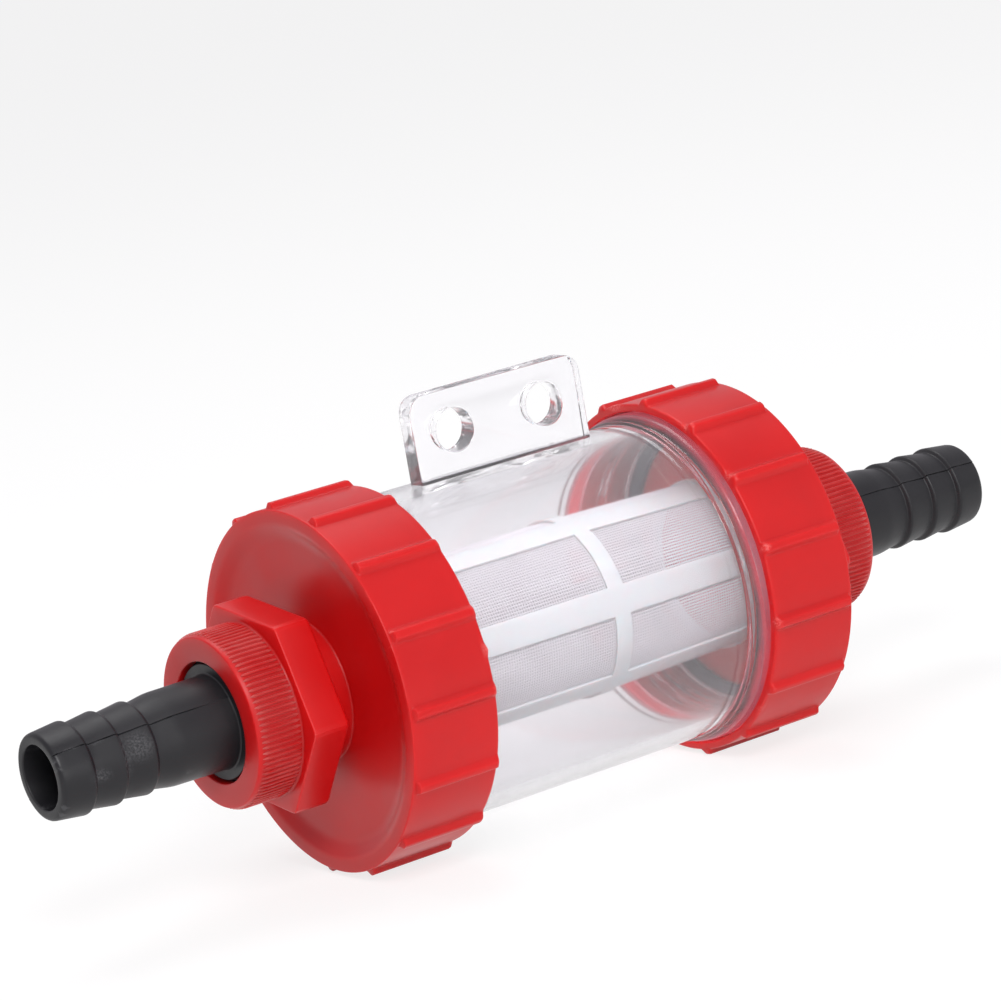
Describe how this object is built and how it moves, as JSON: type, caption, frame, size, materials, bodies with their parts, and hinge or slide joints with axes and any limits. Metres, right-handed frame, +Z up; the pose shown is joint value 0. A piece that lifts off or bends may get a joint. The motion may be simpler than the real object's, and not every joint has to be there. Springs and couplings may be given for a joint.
{
  "type": "inline mesh filter",
  "caption": "Inline mesh filter: clear tube with a mesh screen inside, ribbed screw caps, union nuts and barbed hose tails.",
  "frame": {"origin": "under the middle of the tube, level with the lowest rib of the caps", "axes": "+X along the flow, from the inlet to the outlet; +Z up, towards the bracket plate; +Y to the back"},
  "size_m": [0.2266, 0.0754, 0.0881],
  "materials": {
    "clear_plastic": "clear, polished",
    "red_plastic": "satin gloss",
    "black_plastic": "matte",
    "dark_rubber": "matte",
    "white_plastic": "matte",
    "white_gauze": "woven"
  },
  "bodies": {
    "tube": {"housing": "clear_plastic"},
    "inlet_seal": {"inlet_gasket": "dark_rubber"},
    "inlet_closure": {"inlet_cap": "red_plastic"},
    "inlet_barb": {"inlet_tail": "black_plastic", "inlet_washer": "dark_rubber"},
    "inlet_union": {"inlet_nut": "red_plastic"},
    "outlet_seal": {"outlet_gasket": "dark_rubber"},
    "outlet_closure": {"outlet_cap": "red_plastic", "screen_cage": "white_plastic", "screen_mesh": "white_gauze"},
    "outlet_barb": {"outlet_tail": "black_plastic", "outlet_washer": "dark_rubber"},
    "outlet_union": {"outlet_nut": "red_plastic"}
  },
  "joints": [
    {"name": "inlet_cap_travel", "type": "slide", "parent": "tube", "child": "inlet_seal", "axis": [-1, 0, 0], "range_m": [0, 0.0055]},
    {"name": "inlet_cap_turn", "type": "hinge", "parent": "inlet_seal", "child": "inlet_closure", "pos_m": [-0.0437, 0, 0.03751], "axis": [-1, 0, 0], "range_deg": [0, 495]},
    {"name": "inlet_nut_travel", "type": "slide", "parent": "inlet_closure", "child": "inlet_barb", "axis": [-1, 0, 0], "range_m": [0, 0.01]},
    {"name": "inlet_nut_turn", "type": "hinge", "parent": "inlet_barb", "child": "inlet_union", "pos_m": [-0.0667, 0, 0.03751], "axis": [-1, 0, 0], "range_deg": [0, 1440]},
    {"name": "outlet_cap_travel", "type": "slide", "parent": "tube", "child": "outlet_seal", "axis": [1, 0, 0], "range_m": [0, 0.0055]},
    {"name": "outlet_cap_turn", "type": "hinge", "parent": "outlet_seal", "child": "outlet_closure", "pos_m": [0.0437, 0, 0.03751], "axis": [1, 0, 0], "range_deg": [0, 495]},
    {"name": "outlet_nut_travel", "type": "slide", "parent": "outlet_closure", "child": "outlet_barb", "axis": [1, 0, 0], "range_m": [0, 0.01]},
    {"name": "outlet_nut_turn", "type": "hinge", "parent": "outlet_barb", "child": "outlet_union", "pos_m": [0.0667, 0, 0.03751], "axis": [1, 0, 0], "range_deg": [0, 1440]}
  ],
  "couplings": [
    {"joint": "inlet_cap_travel", "follows": "inlet_cap_turn", "m_per_rad": 0.00063662},
    {"joint": "inlet_nut_travel", "follows": "inlet_nut_turn", "m_per_rad": 0.00039789},
    {"joint": "outlet_cap_travel", "follows": "outlet_cap_turn", "m_per_rad": 0.00063662},
    {"joint": "outlet_nut_travel", "follows": "outlet_nut_turn", "m_per_rad": 0.00039789}
  ]
}
